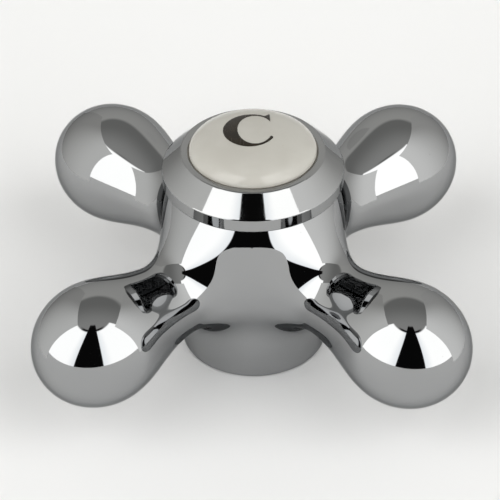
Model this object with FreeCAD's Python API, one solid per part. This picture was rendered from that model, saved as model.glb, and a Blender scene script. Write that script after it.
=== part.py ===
import FreeCAD, Part
import math
import os

# Replacement tap handle: a plated casting with four bulb-ended spokes, a screwed
# button ring with a domed porcelain button, a splined bush and the handle screw.
# The origin is the centre of the skirt's bottom rim, on which the handle stands.
# +Z runs up the valve stem's axis, and the spokes lie on the diagonals of X and Y.
# All sizes are in millimetres and degrees.

# Spokes
spoke_count = 4
first_spoke_angle = 45.0
spoke_height = 15.5
spoke_reach = 40.0
bulb_radius = 8.85
bulb_end_length = 9.7
waist_radius = 5.75
waist_to_bulb = 13.8
waist_softness = 0.42
root_flare = 0.4
root_blend_radius = 7.6

# Hub outside
skirt_radius = 10.7
skirt_height = 6.5
rim_edge_round = 0.4
barrel_bulge = 2.3
barrel_height = 18.2
flank_softness = 0.45
collar_draw_in = 2.0
shoulder_softness = 0.42
collar_lean = 34.0
collar_lean_length = 4.3
hub_height = 28.4

# Hub inside
skirt_wall = 2.7
skirt_bore_depth = 6.0
bore_edge_chamfer = 0.4
web_thickness = 3.0
collar_wall = 2.0
thread_relief = 0.4

# Splined bush, pressed into the hub against its web
spline_tooth_count = 20
spline_root_radius = 4.85
spline_tooth_depth = 0.5
spline_crest_share = 0.30
spline_root_share = 0.34
spline_lead_in = 0.6
bush_wall = 1.15
bush_length = 10.0
bush_edge_chamfer = 0.3
press_gap = 0.01

# Handle screw, which holds the handle down on the stem
screw_thread_radius = 2.5
screw_hole_gap = 0.25
screw_length = 10.0
screw_tip_chamfer = 0.5
screw_head_radius = 4.5
screw_head_height = 3.0
screw_head_crown = 1.2
driver_slot_width = 1.1
driver_slot_depth = 1.6
driver_slot_span = 5.4
driver_room = 2.0

# Button ring, screwed into the collar
lip_width = 1.1
bevel_width = 2.75
bevel_height = 2.85
band_height = 2.0
ring_edge_round = 0.3
button_seat_depth = 2.5
ring_floor = 1.2
spigot_length = 5.0
spigot_wall = 1.6
thread_gap = 0.1

# Porcelain button, cemented into the ring
button_radius = 9.1
button_gap = 0.05
button_rise = 3.2
button_shoulder = 1.8
button_crown_reach = 5.2
button_foot_chamfer = 0.4

# Edges this near to a wanted radius and height are the ones meant
edge_tolerance = 1e-4

# Handles of a cubic that follows a quarter ellipse, as a share of its half axes,
# and that cubic's share of the ellipse's own curvature at its ends
ellipse_handle = 0.5523
ellipse_end_share = 0.9786

# Places worked out from the driving dimensions
barrel_radius = skirt_radius + barrel_bulge
collar_radius = barrel_radius - collar_draw_in
bulb_reach = spoke_reach - bulb_end_length
waist_reach = bulb_reach - waist_to_bulb
skirt_bore_radius = skirt_radius - skirt_wall
bush_radius = spline_root_radius + bush_wall
web_bottom = skirt_bore_depth + bush_length
web_top = web_bottom + web_thickness
spigot_radius = collar_radius - collar_wall
spigot_bottom = hub_height - spigot_length
recess_radius = button_radius + button_gap
lip_radius = recess_radius + lip_width
ring_radius = lip_radius + bevel_width
band_top = hub_height + band_height
lip_top = band_top + bevel_height
button_seat = lip_top - button_seat_depth

origin = FreeCAD.Vector(0, 0, 0)
along_x = FreeCAD.Vector(1, 0, 0)
upwards = FreeCAD.Vector(0, 0, 1)


def point(radius, height):
    """Return a point of a profile, which lies in the XZ plane."""
    return FreeCAD.Vector(radius, 0, height)


def straights(points):
    """Return the straight edges that join the points in order."""
    return [Part.LineSegment(start, end).toShape() for start, end in zip(points, points[1:])]


def cubic(start, start_handle, end_handle, end):
    """Return the cubic curve with these ends and handle points."""
    curve = Part.BezierCurve()
    curve.setPoles([start, start_handle, end_handle, end])
    return curve.toShape()


def joined(edges):
    """Return the edges of a smooth run as one curve, so that a blend can cross their joins."""
    curve = edges[0].Curve.toBSpline()
    for edge in edges[1:]:
        curve.join(edge.Curve.toBSpline())
    return curve.toShape()


def carried_handle(offset, curvature):
    """Return the handle length that gives a cubic this curvature at its end.

    offset is how far the curve's far handle lies to the side of the end's tangent.
    """
    return math.sqrt(2 * offset / (3 * curvature))


def revolve(edges, centre=origin, axis=upwards):
    """Turn a closed profile a full circle about an axis."""
    return Part.Face(Part.Wire(edges)).revolve(centre, axis, 360)


def turned(points):
    """Turn a closed profile of straight edges about the handle's axis."""
    return revolve(straights(points + points[:1]))


def circle_edges(shape, radius, height):
    """Return the circular edges on the handle's axis with this radius and height."""
    found = []
    for edge in shape.Edges:
        if edge.Degenerated or not isinstance(edge.Curve, Part.Circle):
            continue
        off_radius = abs(edge.Curve.Radius - radius)
        off_height = abs(edge.Curve.Center.z - height)
        if max(off_radius, off_height) < edge_tolerance:
            found.append(edge)
    return found


def hub_blank():
    """Turn the solid hub: a skirt that swells to a barrel and leans in under the ring."""
    skirt_foot = point(skirt_radius, 0)
    skirt_top = point(skirt_radius, skirt_height)
    barrel = point(barrel_radius, barrel_height)
    collar = point(collar_radius, hub_height)
    skirt_handle = point(0, skirt_height / 3)
    flank_handle = point(0, (barrel_height - skirt_height) * flank_softness)
    shoulder_handle = point(0, (hub_height - barrel_height) * shoulder_softness)
    lean = math.radians(collar_lean)
    collar_handle = point(math.sin(lean), -math.cos(lean)) * collar_lean_length
    outside = joined([
        cubic(skirt_foot, skirt_foot + skirt_handle, skirt_top - skirt_handle, skirt_top),
        cubic(skirt_top, skirt_top + flank_handle, barrel - flank_handle, barrel),
        cubic(barrel, barrel + shoulder_handle, collar + collar_handle, collar),
    ])
    rest = [collar, point(0, hub_height), origin, skirt_foot]
    blank = revolve([outside] + straights(rest))
    return blank.makeFillet(rim_edge_round, circle_edges(blank, skirt_radius, 0))


def spoke():
    """Turn one spoke about its own level axis: a flared root, a waist and a bulb.

    The three curves share their tangents and curvatures where they meet. The root
    starts inside the hub, at the bush.
    """
    centre = point(0, spoke_height)
    tip = centre + point(spoke_reach, 0)
    bulb = centre + point(bulb_reach, bulb_radius)
    waist = centre + point(waist_reach, waist_radius)
    root = centre + point(bush_radius, waist_radius + root_flare)
    swell = bulb_radius - waist_radius
    bulb_curvature = ellipse_end_share * bulb_radius / bulb_end_length ** 2
    bulb_handle = point(carried_handle(swell, bulb_curvature), 0)
    waist_handle = point(waist_to_bulb * waist_softness, 0)
    waist_curvature = 2 * swell / (3 * waist_handle.x ** 2)
    root_handle = point(carried_handle(root_flare, waist_curvature), 0)
    tip_handle = point(0, bulb_radius * ellipse_handle)
    end_handle = point(bulb_end_length * ellipse_handle, 0)
    bulb_end = cubic(tip, tip + tip_handle, bulb + end_handle, bulb)
    neck = joined([
        cubic(bulb, bulb - bulb_handle, waist + waist_handle, waist),
        cubic(waist, waist - root_handle, root + root_handle, root),
    ])
    core = straights([root, centre + point(bush_radius, 0), tip])
    return revolve([bulb_end, neck] + core, centre, along_x)


def root_edges(shape):
    """Return the edges where the spokes meet the hub, the only closed free-form ones."""
    curved = [edge for edge in shape.Edges if not edge.Degenerated and edge.isClosed()]
    return [edge for edge in curved if isinstance(edge.Curve, Part.BSplineCurve)]


def hub_bore():
    """Turn the stepped hole: skirt bore, bush seat, screw hole, well and ring thread."""
    seat_radius = bush_radius + press_gap
    screw_hole_radius = screw_thread_radius + screw_hole_gap
    well_radius = screw_head_radius + driver_room
    thread_radius = spigot_radius + thread_gap
    thread_bottom = spigot_bottom - thread_relief
    return turned([
        origin,
        point(skirt_bore_radius + bore_edge_chamfer, 0),
        point(skirt_bore_radius, bore_edge_chamfer),
        point(skirt_bore_radius, skirt_bore_depth),
        point(seat_radius, skirt_bore_depth),
        point(seat_radius, web_bottom),
        point(screw_hole_radius, web_bottom),
        point(screw_hole_radius, web_top),
        point(well_radius, web_top),
        point(well_radius, thread_bottom),
        point(thread_radius, thread_bottom),
        point(thread_radius, hub_height),
        point(0, hub_height),
    ])


def handle_body():
    """Join the spokes to the hub, blend their roots, and bore the hub."""
    pattern = spoke()
    spokes = []
    for index in range(spoke_count):
        turn = first_spoke_angle + index * 360 / spoke_count
        spokes.append(pattern.rotated(origin, upwards, turn))
    casting = hub_blank().multiFuse(spokes)
    casting = casting.makeFillet(root_blend_radius, root_edges(casting))
    return casting.cut(hub_bore())


def spline_bush():
    """Turn the bush, and cut its ring of inward teeth and their lead-in."""
    top = web_bottom
    bottom = skirt_bore_depth
    blank = turned([
        point(0, bottom),
        point(bush_radius - bush_edge_chamfer, bottom),
        point(bush_radius, bottom + bush_edge_chamfer),
        point(bush_radius, top - bush_edge_chamfer),
        point(bush_radius - bush_edge_chamfer, top),
        point(0, top),
    ])
    crest_radius = spline_root_radius - spline_tooth_depth
    pitch = 2 * math.pi / spline_tooth_count
    crest_half = spline_crest_share * pitch / 2
    root_half = spline_root_share * pitch / 2
    outline = []
    for tooth in range(spline_tooth_count):
        crest = tooth * pitch
        root = crest + pitch / 2
        corners = [
            (crest_radius, crest - crest_half),
            (crest_radius, crest + crest_half),
            (spline_root_radius, root - root_half),
            (spline_root_radius, root + root_half),
        ]
        for radius, angle in corners:
            outline.append(FreeCAD.Vector(radius * math.cos(angle), radius * math.sin(angle), bottom))
    socket = Part.Face(Part.makePolygon(outline + outline[:1])).extrude(upwards * bush_length)
    lead_in = Part.makeCone(
        crest_radius + spline_lead_in, crest_radius, spline_lead_in, point(0, bottom)
    )
    return blank.cut(socket.fuse(lead_in))


def handle_screw():
    """Turn the screw with its crowned head on the web, and cut the cross for the driver."""
    tip = web_top - screw_length
    top = web_top + screw_head_height
    shoulder = point(screw_head_radius, top - screw_head_crown)
    crown = point(0, top)
    dome = cubic(
        shoulder,
        shoulder + point(0, screw_head_crown * ellipse_handle),
        crown + point(screw_head_radius * ellipse_handle, 0),
        crown,
    )
    rest = [
        crown,
        point(0, tip),
        point(screw_thread_radius - screw_tip_chamfer, tip),
        point(screw_thread_radius, tip + screw_tip_chamfer),
        point(screw_thread_radius, web_top),
        point(screw_head_radius, web_top),
        shoulder,
    ]
    screw = revolve([dome] + straights(rest))
    corner = FreeCAD.Vector(-driver_slot_span / 2, -driver_slot_width / 2, top - driver_slot_depth)
    slot = Part.makeBox(driver_slot_span, driver_slot_width, driver_slot_depth, corner)
    return screw.cut(slot.fuse(slot.rotated(origin, upwards, 90)))


def button_ring():
    """Turn the ring: a band and bevel, a recess for the button and a hollow spigot."""
    hollow_top = button_seat - ring_floor
    hollow_radius = spigot_radius - spigot_wall
    ring = turned([
        point(spigot_radius, spigot_bottom),
        point(spigot_radius, hub_height),
        point(ring_radius, hub_height),
        point(ring_radius, band_top),
        point(lip_radius, lip_top),
        point(recess_radius, lip_top),
        point(recess_radius, button_seat),
        point(0, button_seat),
        point(0, hollow_top),
        point(hollow_radius, hollow_top),
        point(hollow_radius, spigot_bottom),
    ])
    corners = [
        (ring_radius, hub_height),
        (ring_radius, band_top),
        (lip_radius, lip_top),
        (recess_radius, lip_top),
    ]
    rounded = [edge for corner in corners for edge in circle_edges(ring, *corner)]
    return ring.makeFillet(ring_edge_round, rounded)


def index_button():
    """Turn the porcelain button: a straight foot in the recess under a pillow dome."""
    edge = point(button_radius, lip_top)
    crown = point(0, lip_top + button_rise)
    dome = cubic(
        edge, edge + point(0, button_shoulder), crown + point(button_crown_reach, 0), crown
    )
    rest = [
        crown,
        point(0, button_seat),
        point(button_radius - button_foot_chamfer, button_seat),
        point(button_radius, button_seat + button_foot_chamfer),
        edge,
    ]
    return revolve([dome] + straights(rest))


makers = [handle_body, spline_bush, handle_screw, button_ring, index_button]
os.makedirs("parts", exist_ok=True)
for make in makers:
    shape = make()
    shape.exportStep("parts/" + make.__name__ + ".step")
    print(f"{make.__name__}: {len(shape.Solids)} solid, {shape.Volume / 1000:.3f} cm3")
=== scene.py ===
# %% [markdown]
# A replacement tap handle, dressed for its picture. The imported solids are the frame: every
# piece below sits where they sit, in metres, with +Z up the valve stem and the origin at the
# middle of the skirt's bottom rim.

# %% Load the frame
import bpy
import math
import numpy as np
from mathutils import Euler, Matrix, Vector


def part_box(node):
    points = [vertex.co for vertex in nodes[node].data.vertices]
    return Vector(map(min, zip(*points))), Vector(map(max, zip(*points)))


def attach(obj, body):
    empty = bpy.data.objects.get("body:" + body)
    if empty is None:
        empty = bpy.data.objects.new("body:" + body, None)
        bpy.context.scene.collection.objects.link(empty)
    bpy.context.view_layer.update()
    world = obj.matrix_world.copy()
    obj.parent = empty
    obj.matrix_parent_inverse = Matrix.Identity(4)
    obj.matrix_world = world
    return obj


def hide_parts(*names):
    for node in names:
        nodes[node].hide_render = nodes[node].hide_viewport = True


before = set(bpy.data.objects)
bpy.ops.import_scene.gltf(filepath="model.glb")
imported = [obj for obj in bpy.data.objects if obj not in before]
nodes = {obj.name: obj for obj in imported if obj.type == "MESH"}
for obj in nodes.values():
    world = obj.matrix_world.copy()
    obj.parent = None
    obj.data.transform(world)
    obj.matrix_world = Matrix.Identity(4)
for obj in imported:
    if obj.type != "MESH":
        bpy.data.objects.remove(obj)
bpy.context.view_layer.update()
scene = bpy.context.scene
print("frame nodes:", sorted(nodes))

# %% [markdown]
# The camera comes first, because a mirror finish shows a different world from every place. It
# stands in front of the handle and looks down at it with a long lens, so the spokes hardly
# taper. A camera is easiest to place by the point it looks at, its height angle, its turn and
# its distance. The small lens shift moves the picture to the framing of the photograph.

# %% Place the camera
MM = 0.001
VIEW_TARGET = Vector((0, 0, 16 * MM))
VIEW_DISTANCE = 364.1 * MM
VIEW_ELEVATION = math.radians(37.845)
VIEW_TURN = math.radians(1.02)
VIEW_ROLL = math.radians(-0.446)
IMAGE_SIZE = 500
FOCAL_PIXELS = 2495.6
TARGET_PIXEL = (253.58, 245.99)
SENSOR_WIDTH = 36.0
NEAREST_SEEN = 10 * MM

camera_data = bpy.data.cameras.new("camera")
camera = bpy.data.objects.new("camera", camera_data)
scene.collection.objects.link(camera)
scene.camera = camera
camera_data.sensor_width = SENSOR_WIDTH
camera_data.lens = FOCAL_PIXELS / IMAGE_SIZE * SENSOR_WIDTH
camera_data.shift_x = (IMAGE_SIZE / 2 - TARGET_PIXEL[0]) / IMAGE_SIZE
camera_data.shift_y = (TARGET_PIXEL[1] - IMAGE_SIZE / 2) / IMAGE_SIZE
camera_data.clip_start = NEAREST_SEEN
turn = Euler((math.pi / 2 - VIEW_ELEVATION, 0, VIEW_TURN)).to_matrix()
camera.location = VIEW_TARGET + turn @ Vector((0, 0, VIEW_DISTANCE))
camera.rotation_euler = turn.to_euler()
camera.rotation_euler.rotate_axis("Z", VIEW_ROLL)
print("lens:", round(camera_data.lens, 1), "mm")

# %% [markdown]
# Shader trees are made of many small nodes, and writing each one out hides what they do. One
# helper adds a node, sets it up and joins its inputs, so that a formula reads from left to
# right. A few more cover what most trees need: arithmetic, a product of several masks, a
# smooth step from one value to another, and a mix of two colours.

# %% Short ways to add shader nodes
def add_node(tree, kind, inputs=None, output=0, **settings):
    """Add a shader node and return one output. Inputs are numbers, colours or other outputs."""
    node = tree.nodes.new("ShaderNode" + kind)
    for name, value in settings.items():
        setattr(node, name, value)
    for name, value in (inputs or {}).items():
        if isinstance(value, bpy.types.NodeSocket):
            tree.links.new(value, node.inputs[name])
        else:
            node.inputs[name].default_value = value
    return node.outputs[output]


def reckon(tree, operation, first, second=0.0):
    """Return the result of one arithmetic step on two values."""
    return add_node(tree, "Math", {0: first, 1: second}, operation=operation)


def product(tree, first, *others):
    """Return the product of all the values."""
    for other in others:
        first = reckon(tree, "MULTIPLY", first, other)
    return first


def smooth_step(tree, value, start, end, low=0.0, high=1.0):
    """Return low up to start and high from end on, along the curve 3t^2 - 2t^3 between."""
    limits = {"From Min": start, "From Max": end, "To Min": low, "To Max": high}
    return add_node(
        tree, "MapRange", {"Value": value, **limits}, interpolation_type="SMOOTHSTEP"
    )


def mix_colours(tree, share, first, second):
    """Return first where share is 0 and second where share is 1."""
    return add_node(
        tree, "Mix", {"Factor": share, "A": first, "B": second}, "Result", data_type="RGBA"
    )


print("node helpers are ready")

# %% [markdown]
# A mirror has hardly any colour of its own: what the eye reads as chrome is the room. The
# studio here is a world worked out from the direction of each ray. Azimuth runs from the
# camera's side round to the right, and elevation runs up from the horizon. Two tall soft
# boxes stand left and right of the camera with a dark gap between them and a dark rail along
# their tops. They are a little dimmer beside the gap and narrower at the top. The back wall
# is a warm grey, and the ceiling darkens towards the back. Lamps could do it too, but a world
# reaches every angle with the same light, and nothing of it stands in the way of a view.
# Angles are in degrees, and an edge is how far a border fades to each side. The ceiling fades
# by the part of a ray that points to the camera.

# %% Light the studio
WALL_COLOUR = (0.64, 0.635, 0.61, 1)
CEILING_FRONT = (0.515, 0.515, 0.50, 1)
CEILING_BACK = (0.29, 0.29, 0.28, 1)
CEILING_FADE = (-0.5, 0.25)
SOFT_BOX_COLOUR = (2.74, 2.73, 2.69, 1)
SOFT_BOX_INNER = (2.22, 2.27, 2.30, 1)
SOFT_BOX_FADE = 17.0
SOFT_BOX_TOP, SOFT_BOX_TOP_EDGE = 64.0, 1.5
SOFT_BOX_SIDE, SOFT_BOX_SIDE_EDGE = 100.0, 2.0
SOFT_BOX_SIDE_LEAN = 0.4
GAP_COLOUR = (0.006, 0.006, 0.006, 1)
GAP_LEFT, GAP_LEFT_LEAN = -27.0, 0.16
GAP_RIGHT, GAP_RIGHT_LEAN = 21.5, -0.06
GAP_EDGE = 0.8
GAP_TOP, GAP_TOP_EDGE = 76.0, 2.0
RAIL_REACH, RAIL_REACH_EDGE = 44.0, 12.0
RAIL_TOP, RAIL_TOP_EDGE = 67.5, 1.0
WALL_TOP, WALL_TOP_EDGE = 46.0, 4.0
REFLECTIONS = 16


def share_below(tree, value, limit, edge):
    """Return 1 below the limit and 0 above it, with a soft edge."""
    return smooth_step(tree, value, limit + edge, limit - edge)


world = bpy.data.worlds.new("studio")
scene.world = world
world.use_nodes = True
sky = world.node_tree
ray = add_node(sky, "TexCoord", output="Generated")
ray_parts = add_node(sky, "SeparateXYZ", {"Vector": ray}).node.outputs
towards_camera = reckon(sky, "MULTIPLY", ray_parts["Y"], -1.0)
azimuth = reckon(sky, "DEGREES", reckon(sky, "ARCTAN2", ray_parts["X"], towards_camera))
elevation = reckon(sky, "DEGREES", reckon(sky, "ARCSINE", ray_parts["Z"]))

from_left = reckon(sky, "SUBTRACT", azimuth, product(sky, elevation, GAP_LEFT_LEAN))
from_right = reckon(sky, "SUBTRACT", azimuth, product(sky, elevation, GAP_RIGHT_LEAN))
past_left = smooth_step(sky, from_left, GAP_LEFT - GAP_EDGE, GAP_LEFT + GAP_EDGE)
before_right = share_below(sky, from_right, GAP_RIGHT, GAP_EDGE)
between = product(sky, past_left, before_right)
beside_left = smooth_step(sky, from_left, GAP_LEFT - SOFT_BOX_FADE, GAP_LEFT)
beside_right = smooth_step(sky, from_right, GAP_RIGHT + SOFT_BOX_FADE, GAP_RIGHT)
inner_share = product(sky, beside_left, beside_right)

to_side = reckon(sky, "ABSOLUTE", azimuth)
side_reach = reckon(sky, "ADD", to_side, product(sky, elevation, SOFT_BOX_SIDE_LEAN))
in_reach = share_below(sky, side_reach, SOFT_BOX_SIDE, SOFT_BOX_SIDE_EDGE)
under_top = share_below(sky, elevation, SOFT_BOX_TOP, SOFT_BOX_TOP_EDGE)
box_share = product(sky, in_reach, under_top)
under_rail = share_below(sky, elevation, RAIL_TOP, RAIL_TOP_EDGE)
rail_share = product(
    sky, reckon(sky, "SUBTRACT", under_rail, under_top),
    share_below(sky, to_side, RAIL_REACH, RAIL_REACH_EDGE),
)
gap_share = product(sky, between, share_below(sky, elevation, GAP_TOP, GAP_TOP_EDGE))
dark_share = reckon(sky, "MAXIMUM", gap_share, rail_share)
to_front = smooth_step(sky, towards_camera, *CEILING_FADE)
ceiling = mix_colours(sky, to_front, CEILING_BACK, CEILING_FRONT)
under_wall_top = share_below(sky, elevation, WALL_TOP, WALL_TOP_EDGE)
room = mix_colours(sky, under_wall_top, ceiling, WALL_COLOUR)
soft_box = mix_colours(sky, inner_share, SOFT_BOX_COLOUR, SOFT_BOX_INNER)
room = mix_colours(sky, box_share, room, soft_box)
room = mix_colours(sky, dark_share, room, GAP_COLOUR)
sky.links.new(room, sky.nodes["Background"].inputs["Color"])
scene.view_settings.view_transform = "Standard"
scene.cycles.max_bounces = REFLECTIONS
scene.cycles.glossy_bounces = REFLECTIONS
print("studio world:", len(sky.nodes), "nodes")

# %% [markdown]
# New pieces are surfaces on a grid: whole arrays of points, with rows along the piece and
# columns around or across it. One helper turns such a grid into a mesh, closes it where it
# meets itself, and makes sure that its faces look outwards. It measures the volume inside
# the faces, which comes out negative when they look inwards, and then turns them round.

# %% From a grid of points to a piece
def grid_triangles(rows, columns, wrap_rows, wrap_columns):
    """Return the corners of two triangles for each cell of a grid of points."""
    row = np.arange(rows if wrap_rows else rows - 1)
    column = np.arange(columns if wrap_columns else columns - 1)
    here_row, here_column = (part.ravel() for part in np.meshgrid(row, column, indexing="ij"))
    next_row, next_column = (here_row + 1) % rows, (here_column + 1) % columns
    a = here_row * columns + here_column
    b = next_row * columns + here_column
    c = next_row * columns + next_column
    d = here_row * columns + next_column
    return np.concatenate([np.stack([a, b, c], 1), np.stack([a, c, d], 1)])


def cap_triangles(rows, columns):
    """Return the fans that close a tube's two ends on two middle points added after the grid."""
    around = np.arange(columns)
    onward = (around + 1) % columns
    first_end, last_end = rows * columns, rows * columns + 1
    last_row = (rows - 1) * columns
    first_fan = np.stack([around * 0 + first_end, around, onward], 1)
    last_fan = np.stack([around * 0 + last_end, last_row + onward, last_row + around], 1)
    return np.concatenate([first_fan, last_fan])


def make_piece(name, points, triangles):
    """Make a smooth mesh object from points in millimetres, with its faces outwards."""
    corners = points[triangles]
    inside = np.einsum("ij,ij->", corners[:, 0], np.cross(corners[:, 1], corners[:, 2]))
    if inside < 0:
        triangles = triangles[:, ::-1]
    mesh = bpy.data.meshes.new(name)
    mesh.from_pydata((points * MM).tolist(), [], triangles.tolist())
    mesh.shade_smooth()
    piece = bpy.data.objects.new(name, mesh)
    scene.collection.objects.link(piece)
    print(name, "has", len(triangles), "triangles")
    return piece


def tube_piece(name, grid):
    """Make a closed tube from rings of points, capped at both ends."""
    rows, columns = grid.shape[:2]
    middles = np.stack([grid[0].mean(0), grid[-1].mean(0)])
    points = np.concatenate([grid.reshape(-1, 3), middles])
    walls = grid_triangles(rows, columns, False, True)
    return make_piece(name, points, np.concatenate([walls, cap_triangles(rows, columns)]))


print("grid helpers are ready")

# %% [markdown]
# The floor is a plain pale sheet, wide enough to reach the horizon. It isn't part of the
# handle. It stays matt: a glossy floor would mirror the soft boxes and hide the handle's own
# soft shadow. Its lower face is clear, so that a view from below shows the handle. It lies a
# hair under the rim, so that the two don't mix, and has a hole inside the rim, which lets light
# into the bore and which the skirt hides from above.

# %% Lay the floor
FLOOR_HALF_MM = 4000.0
FLOOR_DROP_MM = 0.03
FLOOR_HOLE_MM = 9.8
FLOOR_COLOUR = (0.87, 0.87, 0.87, 1)


def new_finish(name, constants):
    """Make a material, and return it with its node tree and its shader's inputs."""
    material = bpy.data.materials.new(name)
    material.use_nodes = True
    inputs = material.node_tree.nodes["Principled BSDF"].inputs
    for socket, value in constants.items():
        inputs[socket].default_value = value
    return material, material.node_tree, inputs


floor_sides = np.array([-FLOOR_HALF_MM, FLOOR_HALF_MM])
floor_x, floor_y = np.meshgrid(floor_sides, floor_sides, indexing="ij")
floor_points = np.stack([floor_x, floor_y, floor_x * 0], -1).reshape(-1, 3)
floor = make_piece("floor", floor_points, grid_triangles(2, 2, False, False))
floor.location.z = -FLOOR_DROP_MM * MM
floor_white, tree, _ = new_finish(
    "floor_white",
    {"Base Color": FLOOR_COLOUR, "Roughness": 0.9, "Specular IOR Level": 0.1},
)
from_below = add_node(tree, "NewGeometry", output="Backfacing")
place = add_node(tree, "TexCoord", output="Object")
reach = add_node(tree, "VectorMath", {0: place}, "Value", operation="LENGTH")
in_hole = reckon(tree, "LESS_THAN", reach, FLOOR_HOLE_MM * MM)
clear = add_node(tree, "BsdfTransparent")
matt = tree.nodes["Principled BSDF"].outputs["BSDF"]
see_through = reckon(tree, "MAXIMUM", from_below, in_hole)
one_sided = add_node(tree, "MixShader", {0: see_through, 1: matt, 2: clear})
tree.links.new(one_sided, tree.nodes["Material Output"].inputs["Surface"])
floor.data.materials.append(floor_white)

# %% [markdown]
# Light cards stand close beside the handle, as the walls of a light tent do. They are brighter
# towards the soft boxes and fade towards the back. They have to be real sheets, because they
# are so near that each spoke sees their front edges at another angle. They show only in
# reflections: the camera and the floor look through them.

# %% Stand the light cards
CARD_HEIGHT = 215.0
CARD_BACK = 260.0
CARD_FADE_END = 120.0
CARD_LEAN = 21.0


def light_card(name, x, front, front_glow, back_glow):
    """Make an upright sheet along Y that glows, fading from its front edge to the back.

    The front edge leans towards the camera on its way up.
    """
    y = np.array([[front, front - CARD_LEAN], [CARD_BACK, CARD_BACK]])
    z = np.array([[0.0, CARD_HEIGHT], [0.0, CARD_HEIGHT]])
    points = np.stack([y * 0 + x, y, z], -1).reshape(-1, 3)
    card = make_piece(name, points, grid_triangles(2, 2, False, False))
    card.visible_camera = card.visible_diffuse = card.visible_shadow = False
    glow, tree, _ = new_finish(name, {})
    place = add_node(tree, "TexCoord", output="Object")
    depth = add_node(tree, "SeparateXYZ", {"Vector": place}, "Y")
    fade = smooth_step(tree, depth, front * MM, CARD_FADE_END * MM)
    colour = mix_colours(tree, fade, front_glow, back_glow)
    light = add_node(tree, "Emission", {"Color": colour})
    tree.links.new(light, tree.nodes["Material Output"].inputs["Surface"])
    card.data.materials.append(glow)


light_card(
    "left_card", x=-110.0, front=-39.0,
    front_glow=(1.09, 1.09, 1.06, 1), back_glow=(0.535, 0.53, 0.51, 1),
)
light_card(
    "right_card", x=118.0, front=-51.0,
    front_glow=(1.35, 1.35, 1.32, 1), back_glow=(0.62, 0.615, 0.595, 1),
)

# %% [markdown]
# The casting is one flowing shape: four bulb-ended spokes that grow out of a barrel-shaped
# hub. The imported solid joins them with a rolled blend, and a mirror shows the line where such
# a blend begins. So the visible casting is a skin with no such line. Its hub and spokes keep
# within a quarter of a millimetre of the solid's outlines. Each outline is a run of cubic
# curves, in millimetres, and a handle is how far a curve runs on from one of its ends.

# %% Outlines of a spoke and of the hub
SPOKE_HEIGHT = 15.45
SPOKE_TIP = np.array([40.0, 0.0])
BULB = np.array([30.3, 8.85])
WAIST = np.array([15.65, 5.7])
ROOT = np.array([6.0, 6.45])
SKIRT_TOP = np.array([10.7, 6.5])
BARREL = np.array([13.08, 17.4])
COLLAR = np.array([11.0, 28.4])
ROOT_HANDLE, WAIST_HANDLE = 2.08, 6.16
NECK_HANDLE, BULB_HANDLE, TIP_HANDLE = 4.74, 5.36, 4.89
FLANK_HANDLE, SHOULDER_HANDLE = 5.265, 4.284
COLLAR_HANDLE = np.array([2.675, -3.865])
SKIRT_POINTS = 50
RIM_ROUND = 0.4
ACROSS = np.array([1.0, 0.0])
UP = np.array([0.0, 1.0])


def cubic_curve(start, start_handle, end_handle, end, count=900):
    """Return points of the cubic that leaves start towards its handle and arrives at end.

    With t from 0 to 1 and s = 1 - t, a point is s^3, 3s^2t, 3st^2 and t^3 of the four.
    """
    t = np.linspace(0, 1, count)[:, None]
    s = 1 - t
    first_half = s ** 3 * start + 3 * s ** 2 * t * start_handle
    return first_half + 3 * s * t ** 2 * end_handle + t ** 3 * end


spoke_outline = np.concatenate([
    cubic_curve(ROOT, ROOT + ROOT_HANDLE * ACROSS, WAIST - ROOT_HANDLE * ACROSS, WAIST),
    cubic_curve(WAIST, WAIST + WAIST_HANDLE * ACROSS, BULB - NECK_HANDLE * ACROSS, BULB)[1:],
    cubic_curve(BULB, BULB + BULB_HANDLE * ACROSS, SPOKE_TIP + TIP_HANDLE * UP, SPOKE_TIP)[1:],
])
skirt_height = np.linspace(0, SKIRT_TOP[1], SKIRT_POINTS, endpoint=False)[:, None]
hub_outline = np.concatenate([
    SKIRT_TOP * ACROSS + skirt_height * UP,
    cubic_curve(SKIRT_TOP, SKIRT_TOP + FLANK_HANDLE * UP, BARREL - FLANK_HANDLE * UP, BARREL),
    cubic_curve(BARREL, BARREL + SHOULDER_HANDLE * UP, COLLAR + COLLAR_HANDLE, COLLAR)[1:],
])
spoke_slope = np.gradient(spoke_outline[:, 1], spoke_outline[:, 0])
hub_slope = np.gradient(hub_outline[:, 0], hub_outline[:, 1])
print("thinnest and thickest spoke radius:", WAIST[1], BULB[1])

# %% [markdown]
# A surface without blend lines is easiest to write as a field: a number for each point in
# space that is negative inside, zero on the surface and about the distance outside. The hub
# and the two nearest spokes each give one. Their rounded union lets them flow together
# wherever a point is within the blend radius of more than one. Skin points are then pulled
# along the field's slope until the field is zero.

# %% The casting as a field
SIDE_BLEND, TOP_BLEND, UNDER_BLEND = 3.98, 6.98, 5.02
BLEND_SPREAD = 0.47
BLEND_POWER = 2.52
STEEPEST = 1.2
LEAST_SLOPE = 1e-6
NEAR_ZERO = 1e-9


def spoke_field(along, aside, up):
    """Return how far points lie outside a spoke: their distance from its axis less its radius.

    It is divided by the length of the outline's slope. Past the bulb's widest place, it is the
    ellipsoid's own scaled distance.
    """
    off_axis = np.hypot(aside, up)
    radius = np.interp(along, spoke_outline[:, 0], spoke_outline[:, 1])
    slope = np.interp(along, spoke_outline[:, 0], spoke_slope).clip(-STEEPEST, STEEPEST)
    tube = (off_axis - radius) / np.sqrt(1 + slope ** 2)
    beyond = np.maximum(along - BULB[0], 0) / (SPOKE_TIP[0] - BULB[0])
    end = BULB[1] * (np.hypot(beyond, off_axis / BULB[1]) - 1)
    return np.where(along > BULB[0], end, tube)


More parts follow.
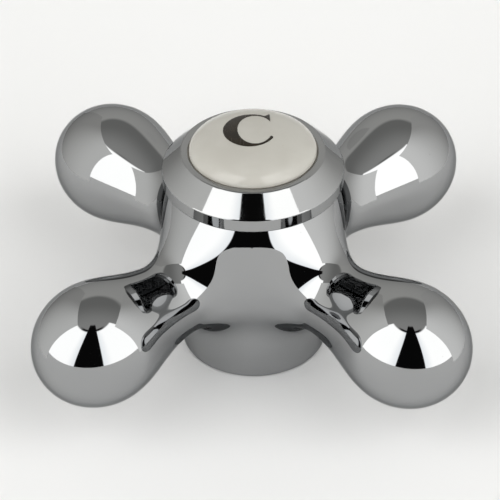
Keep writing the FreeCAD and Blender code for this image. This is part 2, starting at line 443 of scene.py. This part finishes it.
def hub_field(radius, height):
    """Return how far points lie outside the hub: the radius less the hub's, over its slope."""
    outline = np.interp(height, hub_outline[:, 1], hub_outline[:, 0])
    slope = np.interp(height, hub_outline[:, 1], hub_slope)
    return (radius - outline) / np.sqrt(1 + slope ** 2)


def casting_field(points):
    """Return the field of the hub, one spoke along +X and its neighbours along +Y and -Y.

    Rounded union: with u the amount by which each field is short of the blend radius R, the
    result is R less the p-th root of the sum of all u to the power p, or the least field
    where none is short. A circle's arc would be p = 2. A higher power lets the curvature grow
    from zero where the blend begins, so that a mirror shows no line there. R differs over,
    under and beside a spoke, by the share of the upright in its direction.
    """
    along, aside, height = np.moveaxis(points, -1, 0)
    up = height - SPOKE_HEIGHT
    fields = np.stack([
        spoke_field(along, aside, up),
        spoke_field(np.abs(aside), along, up),
        hub_field(np.hypot(along, aside), height),
    ])
    sideways = BLEND_SPREAD * along * np.abs(aside) / np.hypot(along, aside)
    upright = up ** 2 / (up ** 2 + sideways ** 2 + NEAR_ZERO)
    far = np.where(up > 0, TOP_BLEND, UNDER_BLEND)
    blend = SIDE_BLEND + (far - SIDE_BLEND) * upright
    short = np.maximum(blend - fields, 0)
    root_of_sum = (short ** BLEND_POWER).sum(0) ** (1 / BLEND_POWER)
    return np.maximum(blend, fields.min(0)) - root_of_sum


def field_slope(points, step=0.01):
    """Return the field's slope along X, Y and Z, by differences over a small step."""
    shifts = np.eye(3) * step
    return np.stack([
        casting_field(points + shift) - casting_field(points - shift) for shift in shifts
    ], -1) / (2 * step)


def pull_to_surface(points, rounds=14):
    """Move points down the field's slope to where the field is zero."""
    for _ in range(rounds):
        slope = field_slope(points)
        length = np.maximum((slope ** 2).sum(-1), LEAST_SLOPE)
        points = points - (casting_field(points) / length)[..., None] * slope
    return points


print("blend beside, over and under a spoke:", SIDE_BLEND, TOP_BLEND, UNDER_BLEND)

# %% [markdown]
# The skin of one spoke's quarter of the casting is a grid of rings. The first ring is the
# spoke's tip, shrunk to a point. The rings follow the bulb and the neck, then open out and
# come to lie on the quarter's outline: an arc under the collar, an arc at the rim, and two
# upright lines halfway to the next spokes. Four turned copies meet along these lines.

# %% Skin of one quarter
SIDE_COLUMNS = 36
COLUMNS = 4 * SIDE_COLUMNS
NECK_REACH = 20.0
SPOKE_ROWS, ROOT_ROWS = 64, 52


def quarter_border():
    """Return the quarter's outline, from its low corner up, across, down and back."""
    share = np.arange(SIDE_COLUMNS) / SIDE_COLUMNS
    low, high = RIM_ROUND, COLLAR[1]
    eighth = np.pi / 4
    bearing = np.concatenate([
        share * 0 + eighth, eighth - 2 * eighth * share,
        share * 0 - eighth, 2 * eighth * share - eighth,
    ])
    height = np.concatenate([
        low + (high - low) * share, share * 0 + high,
        high - (high - low) * share, share * 0 + low,
    ])
    radius = np.interp(height, hub_outline[:, 1], hub_outline[:, 0])
    return np.stack([radius * np.cos(bearing), radius * np.sin(bearing), height], -1)


def ring_points(along, radius):
    """Return rings of points round the spoke's axis, turned to match the quarter's outline."""
    turn = 2 * np.pi * np.arange(COLUMNS) / COLUMNS - np.pi / 4
    along = np.broadcast_to(along[:, None], (len(along), COLUMNS))
    radius = radius[:, None]
    return np.stack([along, radius * np.cos(turn), SPOKE_HEIGHT + radius * np.sin(turn)], -1)


def quarter_skin():
    """Return the quarter's grid: rings down the spoke, then curves to the outline.

    Down the spoke the rows are even in a quarter turn over the bulb and even in length along
    the neck. Each later column is a parabola from the neck to the outline that leans on the
    place where spoke and hub would meet without a blend. All of it is then pulled on, but
    for the two arcs, which have to meet the inside.
    """
    bulb_rows = SPOKE_ROWS // 2
    quarter_turn = np.linspace(0, np.pi / 2, bulb_rows, endpoint=False)
    bulb_along = BULB[0] + (SPOKE_TIP[0] - BULB[0]) * np.cos(quarter_turn)
    neck_along = np.linspace(BULB[0], NECK_REACH, SPOKE_ROWS - bulb_rows)
    neck_radius = np.interp(neck_along, spoke_outline[:, 0], spoke_outline[:, 1])
    along = np.concatenate([bulb_along, neck_along])
    radius = np.concatenate([BULB[1] * np.sin(quarter_turn), neck_radius])
    spoke_rows = ring_points(along, radius)
    corner = ring_points(np.array([ROOT[0]]), np.array([ROOT[1]]))[0]
    hub_radius = np.interp(corner[:, 2], hub_outline[:, 1], hub_outline[:, 0])
    corner[:, 0] = np.sqrt(hub_radius ** 2 - corner[:, 1] ** 2)
    t = np.linspace(0, 1, ROOT_ROWS + 1)[1:, None, None]
    neck, border = spoke_rows[-1], quarter_border()
    root_rows = (1 - t) ** 2 * neck + 2 * t * (1 - t) * corner + t ** 2 * border
    grid = np.concatenate([spoke_rows, root_rows])
    pulled = pull_to_surface(grid[1:])
    on_arcs = np.isin(grid[-1, :, 2], (RIM_ROUND, COLLAR[1]))
    pulled[-1, on_arcs] = grid[-1, on_arcs]
    return np.concatenate([grid[:1], pulled])


quarter = quarter_skin()
print("largest field left on the skin:", float(np.abs(casting_field(quarter[1:])).max()))

# %% [markdown]
# The four quarters and the bored inside make one closed mesh. The inside is turned: its
# outline runs from the rim up the skirt's bore, the bush's seat, the web, the screw well and
# the thread to the collar. Points that fall together, at the spokes' tips and along the
# seams, are then made one.

# %% The whole casting
RIM_POINTS = 7
SKIRT_BORE, BORE_CHAMFER, BORE_DEPTH = 8.0, 0.4, 6.0
BUSH_SEAT, WEB_BOTTOM, WEB_TOP = 6.01, 16.0, 19.0
SCREW_HOLE, SCREW_WELL = 2.75, 6.5
THREAD_BORE, THREAD_BOTTOM = 9.1, 23.0
STEPS_A_MM = 1e4
SHARP_ANGLE = math.radians(40)

rim_turn = np.linspace(0, np.pi / 2, RIM_POINTS)
rim_edge = np.array([SKIRT_TOP[0] - RIM_ROUND, RIM_ROUND]) + RIM_ROUND * np.stack(
    [np.sin(rim_turn), -np.cos(rim_turn)], -1
)
bore_outline = np.concatenate([
    rim_edge[::-1],
    np.array([
        (SKIRT_BORE + BORE_CHAMFER, 0), (SKIRT_BORE, BORE_CHAMFER), (SKIRT_BORE, BORE_DEPTH),
        (BUSH_SEAT, BORE_DEPTH), (BUSH_SEAT, WEB_BOTTOM), (SCREW_HOLE, WEB_BOTTOM),
        (SCREW_HOLE, WEB_TOP), (SCREW_WELL, WEB_TOP), (SCREW_WELL, THREAD_BOTTOM),
        (THREAD_BORE, THREAD_BOTTOM), (THREAD_BORE, COLLAR[1]),
    ]),
    COLLAR[None],
])


def turned_grid(outline, columns):
    """Return the grid of an outline of radius and height, turned a full circle about Z."""
    turn = 2 * np.pi * np.arange(columns) / columns
    radius, height = outline[:, :1], outline[:, 1:] + 0 * turn
    return np.stack([radius * np.cos(turn), radius * np.sin(turn), height], -1)


def turned_about_z(points, angle):
    """Return points turned about Z by an angle in radians."""
    c, s = np.cos(angle), np.sin(angle)
    return points @ np.array([[c, s, 0], [-s, c, 0], [0, 0, 1]])


def merged(points, triangles):
    """Make points that agree to a ten-thousandth of a millimetre one, and drop flat triangles."""
    _, first, where = np.unique(
        np.round(points * STEPS_A_MM).astype(np.int64), axis=0,
        return_index=True, return_inverse=True,
    )
    triangles = where.ravel()[triangles]
    sides = np.sort(triangles, 1)
    whole = (sides[:, 0] != sides[:, 1]) & (sides[:, 1] != sides[:, 2])
    return points[first], triangles[whole]


flat_quarter = quarter.reshape(-1, 3)
quarter_faces = grid_triangles(*quarter.shape[:2], False, True)
bore = turned_grid(bore_outline, COLUMNS)
bore_faces = grid_triangles(*bore.shape[:2], False, True)
casting_points = np.concatenate(
    [turned_about_z(flat_quarter, math.pi / 4 + k * math.pi / 2) for k in range(4)]
    + [bore.reshape(-1, 3)]
)
casting_faces = np.concatenate(
    [quarter_faces + k * len(flat_quarter) for k in range(4)]
    + [bore_faces + 4 * len(flat_quarter)]
)
casting = make_piece("casting", *merged(casting_points, casting_faces))
casting.data.set_sharp_from_angle(angle=SHARP_ANGLE)
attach(casting, "root")
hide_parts("handle_body")

# %% [markdown]
# No real finish is even. Buffing leaves a haze that comes and goes, a lathe leaves fine
# rings, and plating and glaze trap small specks. Several finishes share these marks, so each
# kind is a node group that is built once. A group only says how strong its mark is at each
# point. What that does to colour, gloss or relief is decided in each material.

# %% Marks that the finishes share
CLOUD_RANGE = (0.35, 0.65)
HAIR_RANGE = (0.50, 0.72)
HAIR_PULL = (1.0, 0.16, 0.4)
LINE_RANGE = (0.30, 0.70)
SPECK_DRAW = (0.55, 1.0)
SPECK_EDGE = (0.0, 0.02)


def start_group(name, inputs, outputs):
    """Make an empty node group, and return it with its inner ends. Sockets are {name: type}."""
    group = bpy.data.node_groups.new(name, "ShaderNodeTree")
    for direction, sockets in (("INPUT", inputs), ("OUTPUT", outputs)):
        for socket, kind in sockets.items():
            group.interface.new_socket(socket, in_out=direction, socket_type="NodeSocket" + kind)
    entry = group.nodes.new("NodeGroupInput").outputs
    leave = group.nodes.new("NodeGroupOutput").inputs
    return group, entry, leave


def buffing_haze():
    """Build the haze group: wide soft clouds, and finer clouds pulled out into short hairs."""
    group, entry, leave = start_group(
        "buffing_haze",
        {"Vector": "Vector", "Cloud Scale": "Float", "Hair Scale": "Float"},
        {"Clouds": "Float", "Hairs": "Float"},
    )
    clouds = add_node(
        group, "TexNoise",
        {"Vector": entry["Vector"], "Scale": entry["Cloud Scale"], "Detail": 3.0},
    )
    pulled = add_node(
        group, "VectorMath", {0: entry["Vector"], 1: HAIR_PULL}, operation="MULTIPLY"
    )
    hairs = add_node(
        group, "TexNoise", {"Vector": pulled, "Scale": entry["Hair Scale"], "Detail": 4.0}
    )
    group.links.new(smooth_step(group, clouds, *CLOUD_RANGE), leave["Clouds"])
    group.links.new(smooth_step(group, hairs, *HAIR_RANGE), leave["Hairs"])
    return group


def turning_lines():
    """Build the lathe group: noise over the distance from the axis and the height alone."""
    group, entry, leave = start_group(
        "turning_lines",
        {"Vector": "Vector", "Scale": "Float"},
        {"Lines": "Float", "Radius": "Float"},
    )
    parts = add_node(group, "SeparateXYZ", {"Vector": entry["Vector"]}).node.outputs
    flat = add_node(group, "CombineXYZ", {"X": parts["X"], "Y": parts["Y"]})
    radius = add_node(group, "VectorMath", {0: flat}, "Value", operation="LENGTH")
    section = add_node(group, "CombineXYZ", {"X": radius, "Y": parts["Z"]})
    lines = add_node(
        group, "TexNoise", {"Vector": section, "Scale": entry["Scale"], "Detail": 5.0}
    )
    group.links.new(smooth_step(group, lines, *LINE_RANGE), leave["Lines"])
    group.links.new(radius, leave["Radius"])
    return group


def small_specks():
    """Build the speck group: dots round scattered points, kept where a cell's draw is high."""
    group, entry, leave = start_group(
        "small_specks",
        {"Vector": "Vector", "Scale": "Float", "Size": "Float"},
        {"Specks": "Float"},
    )
    cells = add_node(
        group, "TexVoronoi", {"Vector": entry["Vector"], "Scale": entry["Scale"]}, "Distance"
    ).node.outputs
    draw = add_node(group, "SeparateColor", {"Color": cells["Color"]}, "Red")
    size = product(group, entry["Size"], smooth_step(group, draw, *SPECK_DRAW))
    nearness = reckon(group, "SUBTRACT", size, cells["Distance"])
    group.links.new(smooth_step(group, nearness, *SPECK_EDGE), leave["Specks"])
    return group


haze_group = buffing_haze()
lathe_group = turning_lines()
speck_group = small_specks()


def place_group(tree, group, **values):
    """Place a group on the piece's own coordinates, and return its outputs by name."""
    place = add_node(tree, "TexCoord", output="Object")
    inputs = {name.replace("_", " "): value for name, value in values.items()}
    return add_node(tree, "Group", {"Vector": place, **inputs}, node_tree=group).node.outputs


def dress(tree, shader, tone, gloss, relief, depth):
    """Feed a shader its colour, its roughness and a relief of this depth in millimetres."""
    bump = add_node(tree, "Bump", {"Height": relief, "Strength": 1.0, "Distance": depth * MM})
    for socket, source in (("Base Color", tone), ("Roughness", gloss), ("Normal", bump)):
        tree.links.new(source, shader[socket])


print("shared marks:", [group.name for group in bpy.data.node_groups])

# %% [markdown]
# The casting is zinc alloy under nickel and chrome, buffed to a mirror. Chrome gives back only
# a part of the light, nearly grey with a touch more blue. The roughness stays near
# zero and rises a little where the buffing haze is, and the relief is about a thousandth of a
# millimetre: the slow waviness of a buffed casting, and a few pits in the plate. The edge tint
# keeps the rims of the bulbs dark, where a plain metal shader would turn them white. Nobody
# buffs the bore, so inside the skirt the plate is dull.

# %% Chrome on the casting
CHROME_CLEAR, CHROME_HAZY = (0.368, 0.372, 0.376, 1), (0.357, 0.362, 0.367, 1)
EDGE_TINT = (0.45, 0.455, 0.46, 1)
CHROME_METAL = {"Metallic": 1.0, "Specular Tint": EDGE_TINT}
CHROME_GLOSS = (0.018, 0.036)
CHROME_HAIR_DULLING = 0.012
CHROME_RELIEF = 0.0009
PIT_COLOUR = (0.30, 0.30, 0.30, 1)
PIT_DEPTH = 2.0
BORE_COLOUR = (0.36, 0.355, 0.345, 1)
BORE_RADIUS, BORE_EDGE = 8.2 * MM, 0.1 * MM
BORE_DULLING = 0.33

chrome_plate, tree, shader = new_finish("chrome_plate", CHROME_METAL)
haze = place_group(tree, haze_group, Cloud_Scale=70.0, Hair_Scale=900.0)
pits = place_group(tree, speck_group, Scale=420.0, Size=0.05)
radius = place_group(tree, lathe_group, Scale=900.0)["Radius"]
in_bore = smooth_step(tree, radius, BORE_RADIUS + BORE_EDGE, BORE_RADIUS)
tone = mix_colours(tree, haze["Clouds"], CHROME_CLEAR, CHROME_HAZY)
tone = mix_colours(tree, pits["Specks"], tone, PIT_COLOUR)
tone = mix_colours(tree, in_bore, tone, BORE_COLOUR)
gloss = smooth_step(tree, haze["Clouds"], 0.0, 1.0, *CHROME_GLOSS)
gloss = reckon(tree, "ADD", gloss, product(tree, haze["Hairs"], CHROME_HAIR_DULLING))
gloss = reckon(tree, "ADD", gloss, product(tree, in_bore, BORE_DULLING))
relief = reckon(tree, "SUBTRACT", haze["Clouds"], product(tree, pits["Specks"], PIT_DEPTH))
dress(tree, shader, tone, gloss, relief, CHROME_RELIEF)
casting.data.materials.append(chrome_plate)
print("chrome_plate:", len(tree.nodes), "nodes")

# %% [markdown]
# The ring that holds the button is turned from brass, then plated like the casting. Lathe
# work shows as very fine rings round the axis, so here the relief follows the turning lines,
# and the roughness follows both them and the haze.

# %% Chrome on the ring
RING_CLEAR, RING_HAZY = (0.371, 0.374, 0.375, 1), (0.359, 0.363, 0.366, 1)
RING_GLOSS = (0.03, 0.07)
RING_HAIR_DULLING = 0.015
RING_RELIEF = 0.0004

ring_chrome, tree, shader = new_finish("ring_chrome", CHROME_METAL)
haze = place_group(tree, haze_group, Cloud_Scale=110.0, Hair_Scale=1300.0)
lathe = place_group(tree, lathe_group, Scale=5200.0)
tone = mix_colours(tree, haze["Clouds"], RING_CLEAR, RING_HAZY)
gloss = smooth_step(tree, lathe["Lines"], 0.0, 1.0, *RING_GLOSS)
gloss = reckon(tree, "ADD", gloss, product(tree, haze["Hairs"], RING_HAIR_DULLING))
dress(tree, shader, tone, gloss, lathe["Lines"], RING_RELIEF)
nodes["button_ring"].material_slots[0].material = ring_chrome
print("ring_chrome:", len(tree.nodes), "nodes")

# %% [markdown]
# The button is porcelain under a clear glaze: a warm, slightly grey white that is never quite
# even, with a few darker grains from the firing. The glaze is glossy and lies in gentle
# ripples, which a low bump gives.

# %% Porcelain for the button
PORCELAIN_PALE, PORCELAIN_WARM = (0.468, 0.455, 0.415, 1), (0.446, 0.431, 0.391, 1)
GRAIN_COLOUR = (0.36, 0.31, 0.24, 1)
GRAIN_STRENGTH = 0.5
GLAZE_GLOSS = (0.07, 0.12)
GLAZE_RELIEF = 0.004

porcelain, tree, shader = new_finish("porcelain", {"IOR": 1.5})
haze = place_group(tree, haze_group, Cloud_Scale=260.0, Hair_Scale=2200.0)
grains = place_group(tree, speck_group, Scale=700.0, Size=0.06)
tone = mix_colours(tree, haze["Clouds"], PORCELAIN_PALE, PORCELAIN_WARM)
tone = mix_colours(tree, product(tree, grains["Specks"], GRAIN_STRENGTH), tone, GRAIN_COLOUR)
gloss = smooth_step(tree, haze["Clouds"], 0.0, 1.0, *GLAZE_GLOSS)
dress(tree, shader, tone, gloss, haze["Clouds"], GLAZE_RELIEF)
nodes["index_button"].material_slots[0].material = porcelain
print("porcelain:", len(tree.nodes), "nodes")

# %% [markdown]
# A letter C for cold is fired on the button. Its bowl is the space between two ellipses, the
# inner one set to the right, which makes the stroke thick at the left and thin at the top and
# bottom. Near its upper end the outer edge rises into a serif, and the lower end narrows to a
# rounded tail. A flat text object would cut into the dome, so a low pad is carried along
# the stroke instead, and its height is measured from the dome under each point. Places along
# the stroke are shares of its length, from the serif to the tail.

# %% Fire the letter on the button
BUTTON_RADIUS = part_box("index_button")[1].x / MM
BUTTON_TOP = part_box("index_button")[1].z / MM
BUTTON_RISE = 3.2
BUTTON_SHOULDER = 1.8
BUTTON_CROWN_REACH = 5.2
STROKE_STATIONS = 260
PAD_COLUMNS = 28
PAD_ABOVE = 0.05
PAD_BELOW = 0.25
PAD_SQUARENESS = 0.6
OUTER_CENTRE, OUTER_RADII = (-0.22, 0.74), (4.0, 4.12)
OUTER_START, OUTER_SWEEP = 50, 286
INNER_CENTRE, INNER_RADII = (0.35, 0.80), (2.51, 3.55)
INNER_START, INNER_SWEEP = 33, 299
SERIF_RISE, SERIF_LENGTH = 1.2, 0.05
NARROWING, NARROW_RANGE = 0.42, (0.72, 0.95)
TAIL_LENGTH, TAIL_BLUNTNESS = 0.025, 0.0025


def smooth_share(value, start, end):
    """Return 0 up to start and 1 from end on, along the curve 3t^2 - 2t^3 between."""
    t = np.clip((value - start) / (end - start), 0, 1)
    return t * t * (3 - 2 * t)


def dome_height(radius):
    """Return the dome's height at a distance from the axis.

    The dome is turned from a cubic curve that leaves the button's edge upright and reaches
    the crown level. Its points are found first, and the height is read between them.
    """
    edge = np.array([BUTTON_RADIUS, BUTTON_TOP - BUTTON_RISE])
    crown = np.array([0.0, BUTTON_TOP])
    edge_handle = edge + BUTTON_SHOULDER * UP
    crown_handle = crown + BUTTON_CROWN_REACH * ACROSS
    curve = cubic_curve(edge, edge_handle, crown_handle, crown)
    return np.interp(radius, curve[::-1, 0], curve[::-1, 1])


def ellipse(centre, radii, angle):
    """Return the points of an ellipse at these angles in degrees."""
    turn = np.radians(angle)[:, None]
    return np.array(centre) + np.array(radii) * np.concatenate([np.cos(turn), np.sin(turn)], 1)


def squared(wave):
    """Return a wave between -1 and 1 with its slopes made steeper and its tops flatter."""
    return np.sign(wave) * np.abs(wave) ** PAD_SQUARENESS


def letter_pad():
    """Return the letter's rings of points, one ring at each station along the stroke.

    A ring is a flat squared oval. Across, it reaches from the inner to the outer ellipse. Up,
    it stands just proud of the dome, and down it sinks into it.
    """
    t = np.linspace(0, 1, STROKE_STATIONS)
    outer = ellipse(OUTER_CENTRE, OUTER_RADII, OUTER_START + OUTER_SWEEP * t)
    inner = ellipse(INNER_CENTRE, INNER_RADII, INNER_START + INNER_SWEEP * t)
    outer[:, 1] += SERIF_RISE * (1 - smooth_share(t, 0.0, SERIF_LENGTH))
    narrow = 1 - NARROWING * smooth_share(t, *NARROW_RANGE)
    into_tail = np.clip((t - (1 - TAIL_LENGTH)) / TAIL_LENGTH, 0, 1)
    tail = np.sqrt(1 + TAIL_BLUNTNESS - into_tail ** 2)
    outer = inner + (outer - inner) * (narrow * tail)[:, None]
    angle = np.linspace(0, 2 * np.pi, PAD_COLUMNS, endpoint=False)
    across = 0.5 + 0.5 * squared(np.cos(angle))
    lift = squared(np.sin(angle))
    lift = np.where(lift > 0, PAD_ABOVE, PAD_BELOW) * lift
    plan = inner[:, None] + (outer - inner)[:, None] * across[:, None]
    height = dome_height(np.linalg.norm(plan, axis=2)) + lift
    return np.concatenate([plan, height[..., None]], 2)


cold_letter = tube_piece("cold_letter", letter_pad())
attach(cold_letter, "root")

# %% [markdown]
# The ink is a brown-black stain that has sunk into the glaze. It is a little uneven, as
# painted marks are, and it is less glossy than the glaze round it.

# %% Ink for the letter
INK_DARK, INK_THIN = (0.013, 0.010, 0.006, 1), (0.022, 0.017, 0.011, 1)
INK_GLOSS = (0.22, 0.36)
INK_RELIEF = 0.004

letter_ink, tree, shader = new_finish("letter_ink", {"Specular IOR Level": 0.25})
haze = place_group(tree, haze_group, Cloud_Scale=600.0, Hair_Scale=3000.0)
tone = mix_colours(tree, haze["Clouds"], INK_DARK, INK_THIN)
gloss = smooth_step(tree, haze["Hairs"], 0.0, 1.0, *INK_GLOSS)
dress(tree, shader, tone, gloss, haze["Clouds"], INK_RELIEF)
cold_letter.data.materials.append(letter_ink)
print("letter_ink:", len(tree.nodes), "nodes")

# %% [markdown]
# A dark bead lies in the gap round the button's edge, where it meets the ring. Its dark colour
# is painted shade, standing in for the shadow in that gap. The bead is a small ring: a circle
# carried round a larger circle.

# %% Painted shade in the gap round the button
BEAD_RADIUS = 0.13
BEAD_SINK = 0.16
BEAD_OUTSET = 0.08
BEAD_STATIONS, BEAD_COLUMNS = 180, 12
# Two dark tones of painted shade, standing in for the shadow in the gap round the button.
GAP_SHADE_DARK, GAP_SHADE_PALE = (0.10, 0.092, 0.078, 1), (0.16, 0.148, 0.125, 1)
BEAD_GLOSS = (0.55, 0.8)
BEAD_RELIEF = 0.02

along, round_it = np.meshgrid(
    np.linspace(0, 2 * np.pi, BEAD_STATIONS, endpoint=False),
    np.linspace(0, 2 * np.pi, BEAD_COLUMNS, endpoint=False), indexing="ij",
)
bead_reach = BUTTON_RADIUS + BEAD_OUTSET + BEAD_RADIUS * np.cos(round_it)
bead_height = BUTTON_TOP - BUTTON_RISE - BEAD_SINK + BEAD_RADIUS * np.sin(round_it)
bead_grid = np.stack([bead_reach * np.cos(along), bead_reach * np.sin(along), bead_height], -1)
bead_faces = grid_triangles(BEAD_STATIONS, BEAD_COLUMNS, True, True)
shade_bead = make_piece("shade_bead", bead_grid.reshape(-1, 3), bead_faces)
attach(shade_bead, "root")
gap_shade_finish, tree, shader = new_finish("gap_shade_finish", {"Specular IOR Level": 0.3})
haze = place_group(tree, haze_group, Cloud_Scale=900.0, Hair_Scale=4000.0)
# The bead's colour is painted shade for the gap, made uneven by the clouds.
tone = mix_colours(tree, haze["Clouds"], GAP_SHADE_DARK, GAP_SHADE_PALE)
gloss = smooth_step(tree, haze["Hairs"], 0.0, 1.0, *BEAD_GLOSS)
dress(tree, shader, tone, gloss, haze["Clouds"], BEAD_RELIEF)
shade_bead.data.materials.append(gap_shade_finish)
print("cement:", len(tree.nodes), "nodes")

# %% [markdown]
# Under the skirt a brass bush grips the valve stem with its ring of teeth. It is turned and
# broached, and left bare: satin metal with lathe rings, darker at the roots of the teeth.

# %% Brass for the bush
TOOTH_CREST = 4.35 * MM
TOOTH_ROOT = 4.85 * MM
# A darker, duller tone at the roots of the teeth.
ROOT_DARK_RANGE = (TOOTH_ROOT + 0.2 * MM, TOOTH_ROOT + 0.1 * MM)
ROOT_DARK_COLOUR = (0.20, 0.13, 0.055, 1)
ROOT_DARK_STRENGTH, ROOT_DULLING = 0.7, 0.15
BRASS_BRIGHT, BRASS_DULL = (0.60, 0.43, 0.18, 1), (0.50, 0.35, 0.14, 1)
BRASS_GLOSS = (0.22, 0.36)
BRASS_RELIEF = 0.006

bush_brass, tree, shader = new_finish("bush_brass", {"Metallic": 1.0})
haze = place_group(tree, haze_group, Cloud_Scale=420.0, Hair_Scale=2600.0)
lathe = place_group(tree, lathe_group, Scale=3600.0)
at_root = product(
    tree,
    smooth_step(tree, lathe["Radius"], TOOTH_CREST, TOOTH_ROOT),
    smooth_step(tree, lathe["Radius"], *ROOT_DARK_RANGE),
)
tone = mix_colours(tree, haze["Clouds"], BRASS_BRIGHT, BRASS_DULL)
tone = mix_colours(tree, product(tree, at_root, ROOT_DARK_STRENGTH), tone, ROOT_DARK_COLOUR)
gloss = smooth_step(tree, lathe["Lines"], 0.0, 1.0, *BRASS_GLOSS)
gloss = reckon(tree, "ADD", gloss, product(tree, at_root, ROOT_DULLING))
dress(tree, shader, tone, gloss, lathe["Lines"], BRASS_RELIEF)
nodes["spline_bush"].material_slots[0].material = bush_brass
print("bush_brass:", len(tree.nodes), "nodes")

# %% [markdown]
# The handle screw is plain stainless steel. In the frame its shank is a smooth cylinder, and
# the thread is added here as a ridge carried along a helix: the angle grows with the height,
# one turn for each pitch, and the ridge fades out over half a turn at each end.

# %% Screw and its thread
THREAD_RADIUS = 2.5
THREAD_PITCH = 0.8
THREAD_HEIGHT = 0.24
THREAD_HALF_WIDTH = 0.36
THREAD_SINK = 0.08
THREAD_RUN_OUT = 0.9
THREAD_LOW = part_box("handle_screw")[0].z / MM + THREAD_RUN_OUT
THREAD_HIGH = 15.7
THREAD_END = 0.05
STATIONS_A_TURN = 60
RIDGE_COLUMNS = 12
STEEL_BRIGHT, STEEL_DULL = (0.46, 0.455, 0.44, 1), (0.38, 0.375, 0.365, 1)
STEEL_GLOSS = (0.24, 0.38)
STEEL_RELIEF = 0.004


def thread_ridge():
    """Return the ridge's rings of points along the helix.

    A ring is a low roof: up the slope the height is 1 - |c| of the full height, where c is the
    cosine of the angle round the ring, and the underside is flat inside the shank.
    """
    turns = (THREAD_HIGH - THREAD_LOW) / THREAD_PITCH
    t = np.linspace(0, 1, int(turns * STATIONS_A_TURN))[:, None]
    angle = 2 * np.pi * turns * t
    fade = np.clip(np.minimum(t, 1 - t) * turns * 2, THREAD_END, 1)
    ring = np.linspace(0, 2 * np.pi, RIDGE_COLUMNS, endpoint=False)
    roof = np.where(np.sin(ring) > -NEAR_ZERO, THREAD_HEIGHT * (1 - np.abs(np.cos(ring))), 0)
    reach = THREAD_RADIUS + fade * roof - THREAD_SINK
    height = THREAD_LOW + (THREAD_HIGH - THREAD_LOW) * t + THREAD_HALF_WIDTH * np.cos(ring)
    reach = np.where(np.sin(ring) < -NEAR_ZERO, reach - THREAD_SINK, reach)
    return np.stack([reach * np.cos(angle), reach * np.sin(angle), height], -1)


screw_thread = tube_piece("screw_thread", thread_ridge())
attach(screw_thread, "root")
screw_steel, tree, shader = new_finish("screw_steel", {"Metallic": 1.0})
haze = place_group(tree, haze_group, Cloud_Scale=500.0, Hair_Scale=2600.0)
lathe = place_group(tree, lathe_group, Scale=4200.0)
tone = mix_colours(tree, haze["Clouds"], STEEL_BRIGHT, STEEL_DULL)
gloss = smooth_step(tree, lathe["Lines"], 0.0, 1.0, *STEEL_GLOSS)
dress(tree, shader, tone, gloss, lathe["Lines"], STEEL_RELIEF)
nodes["handle_screw"].material_slots[0].material = screw_steel
screw_thread.data.materials.append(screw_steel)
print("screw_steel:", len(tree.nodes), "nodes")
